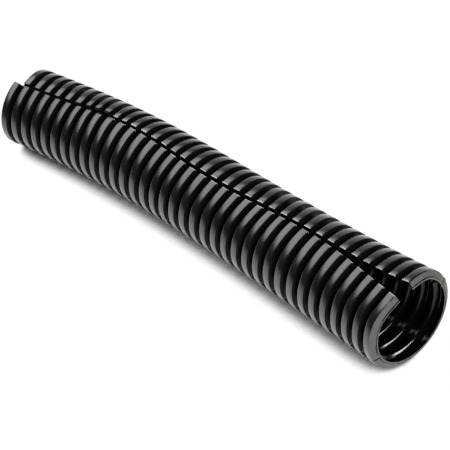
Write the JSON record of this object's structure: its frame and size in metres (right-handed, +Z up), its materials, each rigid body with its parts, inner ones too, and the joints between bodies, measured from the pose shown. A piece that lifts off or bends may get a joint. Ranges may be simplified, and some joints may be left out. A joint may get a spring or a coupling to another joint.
{
  "type": "split corrugated conduit",
  "caption": "Length of split corrugated loom tubing for bundling wires, with a full-length slit that spreads open at the mouth and a gentle bend.",
  "frame": {"origin": "on the bore axis, in the middle of the first full-size valley behind the spread mouth", "axes": "+X along the bore out of the open mouth, +Z up from the surface the tube lies on, with the far end bent towards -Y"},
  "size_m": [0.1858, 0.0417, 0.0351],
  "materials": {
    "black_plastic": "satin moulded black polyethylene, glossy inside the bore"
  },
  "bodies": {
    "root": {"conduit": "black_plastic"}
  },
  "joints": []
}
